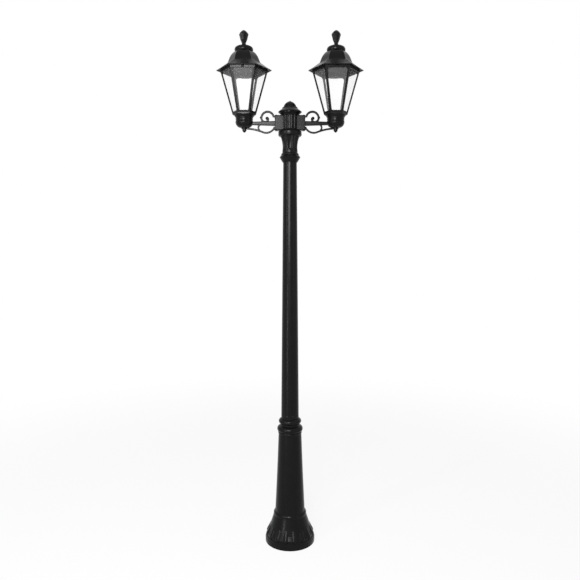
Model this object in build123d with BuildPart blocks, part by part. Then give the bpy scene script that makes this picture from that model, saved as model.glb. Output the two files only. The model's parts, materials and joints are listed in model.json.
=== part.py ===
"""Two-lantern garden lamp post in moulded resin, about 2.28 m tall.

Millimetres, +Z up.  The origin is on the ground, on the axis of the post.
The two arms reach out along X, and the front of the lamp post faces -Y.
"""
import os
from math import atan, cos, degrees, radians, sin

from build123d import *

os.makedirs("parts", exist_ok=True)

# ---------------------------------------------------------------- driving sizes
FIT = 0.3                   # gap between pieces that slide into each other

FOOT_R = 112.5              # ring that stands on the ground
FOOT_RING_TOP = 20.0
LOBES = 16                  # convex lobes round the foot
LOBE_R = 15.0
PEDESTAL_FLARE_TOP = 126.0
PEDESTAL_LEDGE = 500.0      # shaft and sleeve stand on this ledge
PEDESTAL_TOP = 573.0
PLATE_R = 98.0              # steel plate that is bolted to the ground
PLATE_T = 6.0
ANCHOR_PCD = 140.0
ANCHOR_HOLE_R = 6.5
CABLE_HOLE_R = 20.0
FOOT_SCREW_Z = 9.0

SHAFT_BOTTOM_R = 39.8
SHAFT_TOP_R = 29.9        # fits the common 60 mm post top
SHAFT_TOP = 1760.0
SHAFT_SCREW_Z = 588.0

CAPITAL_BOTTOM = 1718.0
CAPITAL_TOP = 1829.0
CAPITAL_NECK_R = 33.5
CAPITAL_TOP_R = 42.5
FLUTES = 8
FLUTE_R = 12.0
FLUTE_DEPTH = 4.0

HUB_BOTTOM = CAPITAL_TOP
HUB_FLOOR = 1836.0
HUB_TOP = 1931.0
HUB_BORE_R = 25.0
HUB_RING_R = 51.0
DRUM_R = 30.5
REEDS = 12
REED_R = 5.5
BOSS_X = 55.0               # face that an arm is screwed to
BOSS_Z = (1855.0, 1919.0)
HUB_CAP_R = 51.5
HUB_CAP_TIP = 1983.0

ARM_Z = 1885.5              # centre of the arm's bar
FLANGE_T = 11.0
BAR_H, BAR_W = 14.0, 14.0
BAR_ROOT_H = 21.0           # the bar thickens towards the hub
SCROLL_W, SCROLL_D = 9.0, 10.0
LEAD_R = 2.5

LANTERN_X = 199.0           # axis of each lantern from the axis of the post
CUP_BOTTOM = 1861.5
CUP_TOP = 1900.0
CUP_BORE_R = 33.0
STEM_R = 4.95
GALLERY_TOP = 1926.0
GALLERY_HEX_R = 51.5

FRAME_BOTTOM = GALLERY_TOP
FRAME_TOP = 2110.0
FRAME_FLOOR_T = 3.0
FRAME_WALL = 4.0
FRAME_R_LOW = 52.0          # corner radius of the cage at its bottom
FRAME_SPREAD = 0.281        # corner radius gained per millimetre of height
POST_W = 7.0                # width of a corner post on each face
RAIL_R = 103.5
RAIL_BOTTOM = 2101.0
WINDOW_Z = (1934.0, 2100.0)
PANE_T = 2.5

HINGE_Y = 96.0
HINGE_Z = 2105.0
HINGE_PIN_R = 2.0
KNUCKLE_R = 4.0

EAVE_R = 120.0
EAVE_Z = 2109.0
ROOF_TOP = 2190.0
CROWN_R = 40.0
CROWN_TOP = 2217.0
FINIAL_TOP = 2279.0

LEFT_RIGHT = ((-1, "left"), (1, "right"))


# --------------------------------------------------------------------- helpers
def save(piece, node):
    """Label one finished piece and write it to its own file."""
    piece.part.label = node
    export_step(piece.part, f"parts/{node}.step")


def save_pair(piece, node):
    """Write a lantern piece, made on the Z axis, on both lantern axes."""
    for side, name in LEFT_RIGHT:
        with BuildPart() as placed:
            with Locations((side * LANTERN_X, 0, 0)):
                add(piece.part)
        save(placed, f"{node}_{name}")


def radial_plane(angle, radius, z):
    """Plane on a round surface: its normal points away from the Z axis."""
    a = radians(angle)
    return Plane(
        origin=(radius * cos(a), radius * sin(a), z),
        x_dir=(-sin(a), cos(a), 0),
        z_dir=(cos(a), sin(a), 0),
    )


def screws(planes, head_r, head_h, shank_r, shank_len):
    """Pan-head screws, each with the underside of its head on a plane."""
    with BuildPart() as group:
        for plane in planes:
            with BuildSketch(plane):
                Circle(head_r)
            extrude(amount=head_h)
            with BuildSketch(plane):
                Circle(shank_r)
            extrude(amount=-shank_len)
    return group


def hexagon(z, corner_r):
    """Level hexagon about the Z axis, with two corners on the X axis."""
    with BuildSketch(Plane.XY.offset(z)) as section:
        RegularPolygon(corner_r, 6)
    return section.sketch


def frame_r(z):
    """Corner radius of the lantern cage at a height."""
    return FRAME_R_LOW + FRAME_SPREAD * (z - FRAME_BOTTOM)


# ------------------------------------------------------------------ anchor plate
FOOT_SCREW_ANGLES = [45, 135, 225, 315]
LUG_FACE_R = 106.5

with BuildPart() as anchor_plate:
    with BuildSketch():
        Circle(PLATE_R)
        Circle(CABLE_HOLE_R, mode=Mode.SUBTRACT)
        with PolarLocations(ANCHOR_PCD / 2, 4):
            Circle(ANCHOR_HOLE_R, mode=Mode.SUBTRACT)
    extrude(amount=PLATE_T)
    for angle in FOOT_SCREW_ANGLES:
        with BuildSketch(radial_plane(angle, LUG_FACE_R, 0)):
            Rectangle(18, 15, align=(Align.CENTER, Align.MIN))
        extrude(amount=-13)
        with BuildSketch(radial_plane(angle, LUG_FACE_R, FOOT_SCREW_Z)):
            Circle(2.5)
        extrude(amount=-14, mode=Mode.SUBTRACT)
save(anchor_plate, "anchor_plate")

foot_screws = screws(
    [radial_plane(a, FOOT_R - 3.0, FOOT_SCREW_Z) for a in FOOT_SCREW_ANGLES],
    head_r=4.0, head_h=2.4, shank_r=2.4, shank_len=12.0,
)
save(foot_screws, "foot_screws")

# ---------------------------------------------------------------------- pedestal
# A lobe is an upright bar with round ends that leans in along the shoulder.
LOBE_LOW = Vector(94.5, 0, 37)
LOBE_UP = Vector(77.8, 0, 69.5) - LOBE_LOW
LOBE_AIM = LOBE_UP.normalized()
with BuildPart() as lobe:
    inward = (-LOBE_AIM.Z, 0, LOBE_AIM.X)
    with BuildSketch(Plane(origin=LOBE_LOW, x_dir=inward, z_dir=(0, 1, 0))):
        with BuildLine():
            mid = LOBE_R * sin(radians(45))
            ThreePointArc((0, -LOBE_R), (mid, -mid), (LOBE_R, 0))
            Line((LOBE_R, 0), (LOBE_R, LOBE_UP.length))
            ThreePointArc((LOBE_R, LOBE_UP.length), (mid, LOBE_UP.length + mid),
                          (0, LOBE_UP.length + LOBE_R))
            Line((0, LOBE_UP.length + LOBE_R), (0, -LOBE_R))
        make_face()
    revolve(axis=Axis(LOBE_LOW, LOBE_AIM))

# One moulding: a solid blank of ring, shoulder, flare, body and two tori takes the
# lobes first; the cavity is then cut through both at once.
with BuildPart() as pedestal:
    with BuildSketch(Plane.XZ):
        with BuildLine():
            Polyline(
                (0, 0), (FOOT_R, 0), (FOOT_R, FOOT_RING_TOP - 2), (FOOT_R - 2, FOOT_RING_TOP),
                (FOOT_R - 2, 27), (105.5, 31), (105, 40), (96, 58), (87, 85),
                (74, PEDESTAL_FLARE_TOP),
            )
            ThreePointArc((74, PEDESTAL_FLARE_TOP), (73.2, 137), (67.5, 143))
            ThreePointArc((67.5, 143), (59.2, 318), (52, 504))
            ThreePointArc((52, 504), (54, 508.5), (52, 513))
            ThreePointArc((52, 513), (58, 526.5), (49, 539.5))
            Polyline((49, 539.5), (44.7, 542), (44.7, 550))
            ThreePointArc((44.7, 550), (51, 561), (44.2, 571.5))
            Polyline((44.2, 571.5), (42.8, PEDESTAL_TOP), (0, PEDESTAL_TOP), (0, 0))
        make_face()
    revolve(axis=Axis.Z)
    with PolarLocations(0, LOBES, start_angle=180 / LOBES):
        add(lobe.part)
    with BuildSketch(Plane.XZ):
        with BuildLine():
            Polyline(
                (0, 0), (0, PEDESTAL_TOP), (SHAFT_BOTTOM_R + FIT, PEDESTAL_TOP),
                (SHAFT_BOTTOM_R + FIT, PEDESTAL_LEDGE), (30, PEDESTAL_LEDGE),
                (30, PEDESTAL_LEDGE - 5), (46.5, PEDESTAL_LEDGE - 12),
            )
            ThreePointArc((46.5, PEDESTAL_LEDGE - 12), (54.2, 318), (62, 143))
            Polyline((62, 143), (69.5, 125), (81, 85), (84, 58), (95, 40), (95, 30),
                     (FOOT_R - 5, 17), (FOOT_R - 5, 0), (0, 0))
        make_face()
    revolve(axis=Axis.Z, mode=Mode.SUBTRACT)
    for angle in FOOT_SCREW_ANGLES:
        with BuildSketch(radial_plane(angle, FOOT_R + 1, FOOT_SCREW_Z)):
            Circle(4.6)
        extrude(amount=-4, mode=Mode.SUBTRACT)
        with BuildSketch(radial_plane(angle, FOOT_R, FOOT_SCREW_Z)):
            Circle(2.7)
        extrude(amount=-8, mode=Mode.SUBTRACT)
save(pedestal, "pedestal")

# ------------------------------------------------------------- sleeve and shaft
SLEEVE_R = 35.6
with BuildPart() as inner_sleeve:
    with BuildSketch(Plane.XY.offset(PEDESTAL_LEDGE)):
        Circle(SLEEVE_R)
        Circle(SLEEVE_R - 3, mode=Mode.SUBTRACT)
    extrude(amount=120)
save(inner_sleeve, "inner_sleeve")

SHAFT_SCREW_ANGLES = [-110, -70, 70, 110]
SHAFT_WALL = 3.5
with BuildPart() as shaft:
    with BuildSketch(Plane.XZ):
        with BuildLine():
            Polyline(
                (SHAFT_BOTTOM_R, PEDESTAL_LEDGE), (SHAFT_BOTTOM_R, PEDESTAL_TOP + 2),
                (SHAFT_TOP_R, CAPITAL_BOTTOM + 5), (SHAFT_TOP_R - FIT, SHAFT_TOP),
                (SHAFT_TOP_R - SHAFT_WALL - FIT, SHAFT_TOP),
                (SHAFT_TOP_R - SHAFT_WALL, CAPITAL_BOTTOM + 5),
                (SHAFT_BOTTOM_R - SHAFT_WALL, PEDESTAL_TOP + 2),
                (SHAFT_BOTTOM_R - SHAFT_WALL, PEDESTAL_LEDGE), close=True,
            )
        make_face()
    revolve(axis=Axis.Z)
    for angle in SHAFT_SCREW_ANGLES:
        with BuildSketch(radial_plane(angle, SHAFT_BOTTOM_R + 2, SHAFT_SCREW_Z)):
            Circle(2.2)
        extrude(amount=-8, mode=Mode.SUBTRACT)
save(shaft, "shaft")

shaft_screws = screws(
    [radial_plane(a, SHAFT_BOTTOM_R, SHAFT_SCREW_Z) for a in SHAFT_SCREW_ANGLES],
    head_r=3.2, head_h=1.6, shank_r=2.0, shank_len=4.0,
)
save(shaft_screws, "shaft_screws")

# ----------------------------------------------------------------------- capital
# Sharp-edged ring below, then a bell with rounded flutes that follow its flare.
FLUTE_OUT = FLUTE_R - FLUTE_DEPTH
with BuildPart() as flute:
    with BuildLine() as flute_path:
        straight = Line((CAPITAL_NECK_R + FLUTE_OUT, 0, 1780), (CAPITAL_NECK_R + FLUTE_OUT, 0, 1786))
        TangentArc(straight @ 1, (CAPITAL_TOP_R + FLUTE_OUT + 1, 0, CAPITAL_TOP + 3),
                   tangent=straight % 1)
    with BuildSketch(flute_path.line ^ 0):
        Circle(FLUTE_R)
    sweep()
    with Locations((CAPITAL_NECK_R + FLUTE_OUT, 0, 1780)):
        Sphere(FLUTE_R)

with BuildPart() as capital:
    with BuildSketch(Plane.XZ):
        with BuildLine():
            Polyline(
                (SHAFT_TOP_R + FIT, CAPITAL_BOTTOM), (32.6, CAPITAL_BOTTOM), (45.5, 1740),
                (38, 1750),
            )
            ThreePointArc((38, 1750), (38.2, 1754.5), (34.6, 1757))
            Polyline((34.6, 1757), (CAPITAL_NECK_R, 1759), (CAPITAL_NECK_R, 1784))
            ThreePointArc((CAPITAL_NECK_R, 1784), (35.9, 1806), (CAPITAL_TOP_R, CAPITAL_TOP))
            Polyline(
                (CAPITAL_TOP_R, CAPITAL_TOP), (24, CAPITAL_TOP), (24, SHAFT_TOP),
                (SHAFT_TOP_R + FIT, SHAFT_TOP), (SHAFT_TOP_R + FIT, CAPITAL_BOTTOM),
            )
        make_face()
    revolve(axis=Axis.Z)
    with PolarLocations(0, FLUTES):
        add(flute.part, mode=Mode.SUBTRACT)
    with BuildSketch(radial_plane(90, 50, 1727)):
        Circle(2.2)
    extrude(amount=-24, mode=Mode.SUBTRACT)
save(capital, "capital")

# Grub screw at the back that clamps the capital on the shaft.
with BuildPart() as capital_screw:
    with BuildSketch(radial_plane(90, SHAFT_TOP_R, 1727)):
        Circle(2.1)
    extrude(amount=9)
save(capital_screw, "capital_screw")

# --------------------------------------------------------------------------- hub
CAP_SCREW_R = 36.5          # seat of the screw that locks the cap
ARM_SCREW_YZ = [(-10.5, 1861), (10.5, 1861), (-10.5, 1913), (10.5, 1913)]


def side_plane(side, x):
    """Plane facing out along X: local x is world Y times the side, local y is Z."""
    return Plane(origin=(side * x, 0, 0), x_dir=(0, side, 0), z_dir=(side, 0, 0))


with BuildPart() as hub:
    with BuildSketch(Plane.XZ):
        with BuildLine():
            Polyline((4.1, HUB_BOTTOM), (20, HUB_BOTTOM), (20, 1815), (23.7, 1815),
                     (23.7, HUB_BOTTOM), (44.5, HUB_BOTTOM))
            ThreePointArc((44.5, HUB_BOTTOM), (50.2, 1833), (HUB_RING_R, 1840))
            Line((HUB_RING_R, 1840), (HUB_RING_R, 1846))
            ThreePointArc((HUB_RING_R, 1846), (49.5, 1850.5), (45, 1852.5))
            ThreePointArc((45, 1852.5), (38.5, 1855), (36, 1861))
            Polyline((36, 1861), (DRUM_R, 1861), (DRUM_R, 1917), (36, 1918))
            ThreePointArc((36, 1918), (40.5, 1923.5), (46.5, 1928))
            Polyline((46.5, 1928), (46.5, HUB_TOP), (HUB_BORE_R, HUB_TOP),
                     (HUB_BORE_R, HUB_FLOOR), (4.1, HUB_FLOOR), (4.1, HUB_BOTTOM))
        make_face()
    revolve(axis=Axis.Z)
    with BuildSketch(Plane.XY.offset(1860)):
        with PolarLocations(29, REEDS, start_angle=15):
            Circle(REED_R)
        Circle(HUB_BORE_R, mode=Mode.SUBTRACT)
    extrude(amount=60)
    for side, name in LEFT_RIGHT:
        with BuildSketch(side_plane(side, BOSS_X)):
            with Locations((0, sum(BOSS_Z) / 2)):
                RectangleRounded(38, BOSS_Z[1] - BOSS_Z[0], 4)
        extrude(amount=-(BOSS_X - 31))
        with BuildSketch(side_plane(side, BOSS_X)):
            with Locations((0, ARM_Z)):
                Circle(5)
        extrude(amount=-36, mode=Mode.SUBTRACT)
        with BuildSketch(side_plane(side, BOSS_X)):
            with Locations(*ARM_SCREW_YZ):
                Circle(2.1)
        extrude(amount=-14, mode=Mode.SUBTRACT)
    with BuildSketch(radial_plane(90, CAP_SCREW_R, 1927.5)):
        Circle(1.8)
    extrude(amount=-16, mode=Mode.SUBTRACT)
    with BuildSketch(radial_plane(90, CAP_SCREW_R, 1927.5)):
        Circle(3.4)
    extrude(amount=14, mode=Mode.SUBTRACT)
save(hub, "hub")

with BuildPart() as hub_cap:
    with BuildSketch(Plane.XZ):
        with BuildLine():
            Polyline((21.5, 1924), (24.7, 1924), (24.7, HUB_TOP), (49, HUB_TOP),
                     (HUB_CAP_R, 1933), (HUB_CAP_R - 0.5, 1935))
            ThreePointArc((HUB_CAP_R - 0.5, 1935), (40, 1943.5), (32, 1950))
            ThreePointArc((32, 1950), (31.5, 1953.3), (28.5, 1954))
            ThreePointArc((28.5, 1954), (22.5, 1967.5), (9, 1977.5))
            Polyline((9, 1977.5), (3, 1981), (0, HUB_CAP_TIP), (0, 1978))
            ThreePointArc((0, 1978), (18, 1966), (24.5, 1952))
            Polyline((24.5, 1952), (24.5, 1940), (21.5, 1937), (21.5, 1924))
        make_face()
    revolve(axis=Axis.Z)
    with BuildSketch(radial_plane(90, 45, 1927.5)):
        Circle(1.55)
    extrude(amount=-26, mode=Mode.SUBTRACT)
save(hub_cap, "hub_cap")

hub_cap_screw = screws([radial_plane(90, CAP_SCREW_R, 1927.5)], 3.0, 1.8, 1.5, 14.0)
save(hub_cap_screw, "hub_cap_screw")

with BuildPart() as terminal_block:
    with BuildSketch(Plane.XY.offset(HUB_FLOOR)):
        with Locations((0, 16)):
            Rectangle(26, 10)
    extrude(amount=14)
    with BuildSketch(Plane.XY.offset(HUB_FLOOR + 14)):
        with Locations((-8, 16), (0, 16), (8, 16)):
            Circle(2.2)
    extrude(amount=-6, mode=Mode.SUBTRACT)
save(terminal_block, "terminal_block")

with BuildPart() as riser_cable:
    with BuildSketch(Plane.XY.offset(60)):
        Circle(4)
    extrude(amount=HUB_FLOOR + 10 - 60)
save(riser_cable, "riser_cable")

# -------------------------------------------------------------------------- arms
# Cast bracket: flange, bar, volute above, S-scroll and C-curl below, end cup.
ARM_START = BOSS_X + FLANGE_T


def scroll_section(path, width, depth):
    """Rounded section across the start of a path that lies in the XZ plane."""
    with BuildSketch(Plane(origin=path @ 0, x_dir=(0, 1, 0), z_dir=path % 0)) as section:
        RectangleRounded(depth, width, 2.5)
    return section.sketch


with BuildPart() as arm_right:
    with BuildSketch(side_plane(1, BOSS_X)):
        with Locations((0, 1887.5)):
            RectangleRounded(32, 67, 6)
    extrude(amount=FLANGE_T - 3)
    with BuildSketch(side_plane(1, ARM_START - 3)):
        with Locations((0, 1887.5)):
            RectangleRounded(32, 67, 6)
    extrude(amount=3, taper=30)
    for x, height in ((BOSS_X + 2, BAR_ROOT_H), (LANTERN_X - CUP_BORE_R - 2, BAR_H)):
        with BuildSketch(side_plane(1, x)):
            with Locations((0, ARM_Z)):
                RectangleRounded(BAR_W, height, 3)
    loft()
    # end cup, turned about the lantern axis
    with BuildSketch(Plane(origin=(LANTERN_X, 0, 0), x_dir=(1, 0, 0), z_dir=(0, -1, 0))):
        with BuildLine():
            Polyline((STEM_R + FIT, CUP_BOTTOM), (12, CUP_BOTTOM), (13, 1863), (13, 1866),
                     (19, 1867.5))
            ThreePointArc((19, 1867.5), (32, 1874.5), (38, 1888))
            ThreePointArc((38, 1888), (38.6, 1890.5), (37.4, 1892.5))
            ThreePointArc((37.4, 1892.5), (38.4, 1894.5), (37, 1896.5))
            Polyline((37, 1896.5), (37, CUP_TOP), (CUP_BORE_R, CUP_TOP), (CUP_BORE_R, 1885))
            ThreePointArc((CUP_BORE_R, 1885), (29, 1877), (19, 1871.5))
            Polyline((19, 1871.5), (STEM_R + FIT, 1871.5), (STEM_R + FIT, CUP_BOTTOM))
        make_face()
    revolve(axis=Axis((LANTERN_X, 0, 0), (0, 0, 1)))
    # volute above the bar
    with BuildLine(mode=Mode.PRIVATE) as volute:
        CenterArc((0, 0), 27, 172, -172)
        CenterArc((10, 0), 17, 0, -90)
        CenterArc((10, -4.5), 12.5, -90, -90)
        CenterArc((2.5, -4.5), 5, 180, -100)
    VOLUTE_AT = Plane(origin=(97.5, 0, 1908.5), x_dir=(1, 0, 0), z_dir=(0, -1, 0))
    volute_path = VOLUTE_AT.from_local_coords(volute.line)
    sweep(sections=scroll_section(volute_path, SCROLL_W, SCROLL_D), path=volute_path)
    with Locations((100, 0, 1907.5)):
        Sphere(7)
    with Locations((126.5, 0, 1910.5)):
        Sphere(5.2)
    # S-scroll and C-curl below the bar
    with BuildLine(Plane.XZ, mode=Mode.PRIVATE) as s_scroll:
        sag = CenterArc((103.5, 1885), 39.5, 201, 90)
        rise = CenterArc((103.5, 1885), 39.5, 291, 0.6)
        TangentArc(rise @ 1, (188, 1863.5), tangent=rise % 1)
    sweep(sections=scroll_section(s_scroll.line, SCROLL_W - 1, SCROLL_D - 1), path=s_scroll.line)
    with BuildLine(Plane.XZ, mode=Mode.PRIVATE) as c_curl:
        ThreePointArc((131, 1880), (138, 1867.5), (132, 1855.5))
    sweep(sections=scroll_section(c_curl.line, SCROLL_W - 1.5, SCROLL_D - 1), path=c_curl.line)
    # wire channel and screw holes
    with BuildSketch(side_plane(1, BOSS_X)):
        with Locations((0, ARM_Z)):
            Circle(LEAD_R + 0.2)
    extrude(amount=LANTERN_X - 28 - BOSS_X, mode=Mode.SUBTRACT)
    with BuildSketch(side_plane(1, BOSS_X)):
        with Locations(*ARM_SCREW_YZ):
            Circle(2.3)
    extrude(amount=FLANGE_T, mode=Mode.SUBTRACT)
save(arm_right, "arm_right")

with BuildPart() as arm_left:
    add(arm_right.part)
    mirror(about=Plane.YZ, mode=Mode.REPLACE)
save(arm_left, "arm_left")

for side, name in LEFT_RIGHT:
    planes = [
        Plane(origin=(side * ARM_START, y, z), x_dir=(0, side, 0), z_dir=(side, 0, 0))
        for y, z in ARM_SCREW_YZ
    ]
    save(screws(planes, head_r=4.0, head_h=2.4, shank_r=2.0, shank_len=22.0),
         f"arm_screws_{name}")
    with BuildPart() as arm_lead:
        with BuildSketch(side_plane(side, 22)):
            with Locations((0, ARM_Z)):
                Circle(LEAD_R)
        extrude(amount=LANTERN_X - 28 - 22)
    save(arm_lead, f"arm_lead_{name}")

# ------------------------------------------------- lantern: what the cup carries
with BuildPart() as bottom_nut:
    with BuildSketch(Plane.XZ):
        with BuildLine():
            Polyline((0, 1846), (4.5, 1848.5), (9, 1854), (9, CUP_BOTTOM), (STEM_R + 0.05, CUP_BOTTOM),
                     (STEM_R + 0.05, 1852), (0, 1852), close=True)
        make_face()
    revolve(axis=Axis.Z)
save_pair(bottom_nut, "bottom_nut")

with BuildPart() as stem:
    with BuildSketch(Plane.XY.offset(1852.5)):
        Circle(STEM_R)
        Circle(3.5, mode=Mode.SUBTRACT)
    extrude(amount=1900 - 1852.5)
save_pair(stem, "stem")

# Gallery: spigot in the cup, beaded neck, and a flare that turns hexagonal.
GALLERY_FLOOR = 1889.0
GALLERY_FLOOR_TOP = 1892.0
NUT_TOP = 1897.0
with BuildPart() as flare:
    with BuildSketch(Plane.XZ):
        with BuildLine():
            Polyline((31, 1912), (39.5, 1912))
            ThreePointArc((39.5, 1912), (43.5, 1918), (53, 1923.5))
            Polyline((53, 1923.5), (53, GALLERY_TOP), (31, GALLERY_TOP), (31, 1912))
        make_face()
    revolve(axis=Axis.Z)
    with BuildSketch(Plane.XY.offset(1905)):
        RegularPolygon(GALLERY_HEX_R, 6)
    extrude(amount=30, mode=Mode.INTERSECT)

with BuildPart() as gallery:
    with BuildSketch(Plane.XZ):
        with BuildLine():
            Polyline((STEM_R + 0.1, GALLERY_FLOOR), (CUP_BORE_R - FIT, GALLERY_FLOOR),
                     (CUP_BORE_R - FIT, CUP_TOP), (37, CUP_TOP), (37, 1902))
            ThreePointArc((37, 1902), (38.3, 1903.6), (37, 1905.2))
            ThreePointArc((37, 1905.2), (37.6, 1908.5), (39.5, 1912))
            Polyline((39.5, 1912), (31, 1912), (29.5, 1906), (29.5, GALLERY_FLOOR_TOP),
                     (STEM_R + 0.1, GALLERY_FLOOR_TOP), (STEM_R + 0.1, GALLERY_FLOOR))
        make_face()
    revolve(axis=Axis.Z)
    add(flare.part)
    with BuildSketch(Plane.XY.offset(GALLERY_TOP)):
        Circle(35)
        Circle(23, mode=Mode.SUBTRACT)
    extrude(amount=-4)
    with BuildSketch(Plane.XY.offset(GALLERY_TOP)):
        with PolarLocations(33, 3, start_angle=90):
            Circle(1.5)
    extrude(amount=-10, mode=Mode.SUBTRACT)
    with BuildSketch(Plane.XY.offset(GALLERY_FLOOR)):
        with Locations((20, 0)):
            Circle(4)
    extrude(amount=5, mode=Mode.SUBTRACT)
save_pair(gallery, "gallery")

with BuildPart() as stem_nut:
    with BuildSketch(Plane.XY.offset(GALLERY_FLOOR_TOP)):
        RegularPolygon(9, 6)
        Circle(STEM_R + 0.05, mode=Mode.SUBTRACT)
    extrude(amount=NUT_TOP - GALLERY_FLOOR_TOP)
save_pair(stem_nut, "stem_nut")

# Screw lampholder: stepped insulating body with a 27 mm socket open to the top.
HOLDER_TOP = 1941.0
SOCKET_R = 13.4
with BuildPart() as lampholder:
    with BuildSketch(Plane.XZ):
        with BuildLine():
            Polyline((STEM_R + 0.05, NUT_TOP), (12, NUT_TOP), (15, 1899), (17.5, 1906),
                     (17.5, 1916), (20, 1919), (20, 1938), (18.5, HOLDER_TOP),
                     (SOCKET_R, HOLDER_TOP), (SOCKET_R, 1912), (9, 1909), (STEM_R + 0.05, 1909),
                     close=True)
        make_face()
    revolve(axis=Axis.Z)
save_pair(lampholder, "lampholder")

with BuildPart() as lamp_contact:
    with BuildSketch(Plane.XY.offset(1906)):
        Circle(STEM_R)
    extrude(amount=3)
    with BuildSketch(Plane.XY.offset(1909)):
        Circle(6)
    extrude(amount=1.5)
save_pair(lamp_contact, "lamp_contact")

# ----------------------------------------------------------------- lantern cage
FACE_RISE = FRAME_SPREAD * cos(radians(30))      # apothem gained per mm of height
FACE_TILT = degrees(atan(FACE_RISE))


def face_plane(depth):
    """Plane of the cage face that looks along +30 degrees, moved inward by depth."""
    a, t = radians(30), radians(FACE_TILT)
    apothem = FRAME_R_LOW * cos(a)
    normal = Vector(cos(t) * cos(a), cos(t) * sin(a), -sin(t))
    start = Vector(apothem * cos(a), apothem * sin(a), FRAME_BOTTOM)
    return Plane(origin=start - normal * depth, x_dir=(-sin(a), cos(a), 0), z_dir=normal)


def face_panel(z_low, z_high, inset, depth, thickness, corner_low, corner_high):
    """Trapezoid plate on one cage face, its sides a fixed inset from the corners."""
    slope = 1 / cos(radians(FACE_TILT))
    with BuildPart() as panel:
        with BuildSketch(face_plane(depth)) as outline:
            low, high = frame_r(z_low) / 2 - inset, frame_r(z_high) / 2 - inset
            v_low, v_high = (z_low - FRAME_BOTTOM) * slope, (z_high - FRAME_BOTTOM) * slope
            with BuildLine():
                Polyline((-low, v_low), (low, v_low), (high, v_high), (-high, v_high), close=True)
            make_face()
            if corner_low:
                fillet(outline.vertices().group_by(Axis.Y)[0], corner_low)
                fillet(outline.vertices().group_by(Axis.Y)[-1], corner_high)
        extrude(amount=-thickness)
    return panel


window = face_panel(*WINDOW_Z, inset=POST_W, depth=-6, thickness=20, corner_low=5, corner_high=10)
pane = face_panel(1930.5, 2106, inset=4.2, depth=FRAME_WALL + 0.1, thickness=PANE_T,
                  corner_low=0, corner_high=0)
CORNER_WALL = FRAME_WALL / cos(radians(30)) / cos(radians(FACE_TILT))

with BuildPart() as frame:
    loft(sections=[hexagon(FRAME_BOTTOM, frame_r(FRAME_BOTTOM)), hexagon(FRAME_TOP, frame_r(FRAME_TOP))])
    loft(sections=[hexagon(RAIL_BOTTOM, RAIL_R - 0.8), hexagon(FRAME_TOP, RAIL_R)])
    floor_top = FRAME_BOTTOM + FRAME_FLOOR_T
    loft(sections=[hexagon(floor_top, frame_r(floor_top) - CORNER_WALL),
                   hexagon(FRAME_TOP + 1, frame_r(FRAME_TOP + 1) - CORNER_WALL)],
         mode=Mode.SUBTRACT)
    with PolarLocations(0, 6):
        add(window.part, mode=Mode.SUBTRACT)
    with BuildSketch(Plane.XY.offset(FRAME_BOTTOM)):
        Circle(23)
        with PolarLocations(33, 3, start_angle=90):
            Circle(1.8)
    extrude(amount=FRAME_FLOOR_T, mode=Mode.SUBTRACT)
    # two hinge lugs on the back rail
    for x in (-18, 12):
        with BuildSketch(Plane.YZ.offset(x)):
            with Locations((HINGE_Y, HINGE_Z)):
                Circle(KNUCKLE_R)
            with Locations((HINGE_Y - 4, HINGE_Z)):
                Rectangle(9, 7)
            with Locations((HINGE_Y, HINGE_Z)):
                Circle(HINGE_PIN_R + 0.02, mode=Mode.SUBTRACT)
        extrude(amount=6)
save_pair(frame, "frame")

with BuildPart() as panes:
    with PolarLocations(0, 6):
        add(pane.part)
save_pair(panes, "panes")

with BuildPart() as frame_screws:
    for angle in (90, 210, 330):
        a = radians(angle)
        with BuildSketch(Plane.XY.offset(floor_top)):
            with Locations((33 * cos(a), 33 * sin(a))):
                Circle(3.2)
        extrude(amount=2)
        with BuildSketch(Plane.XY.offset(floor_top)):
            with Locations((33 * cos(a), 33 * sin(a))):
                Circle(1.45)
        extrude(amount=-12)
save_pair(frame_screws, "frame_screws")

with BuildPart() as hinge_pin:
    with BuildSketch(Plane.YZ.offset(-18)):
        with Locations((HINGE_Y, HINGE_Z)):
            Circle(HINGE_PIN_R)
    extrude(amount=36)
save_pair(hinge_pin, "hinge_pin")

# ------------------------------------------------------------------ lantern roof
# Bell-cast hexagonal shell: straight skirt, crisp break, then a swelling bell.
SKIRT_TOP = (2142.5, 71.5)
BELL = [SKIRT_TOP, (2153, 66.5), (2166, 61.2), (2175, 56), (2183, 49.5), (ROOF_TOP, 40.5)]
BELL_INSIDE = [(2142.5, 67.5), (2153, 62.5), (2166, 57), (2175, 51.5), (2181, 46), (2185.5, 39)]

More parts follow.
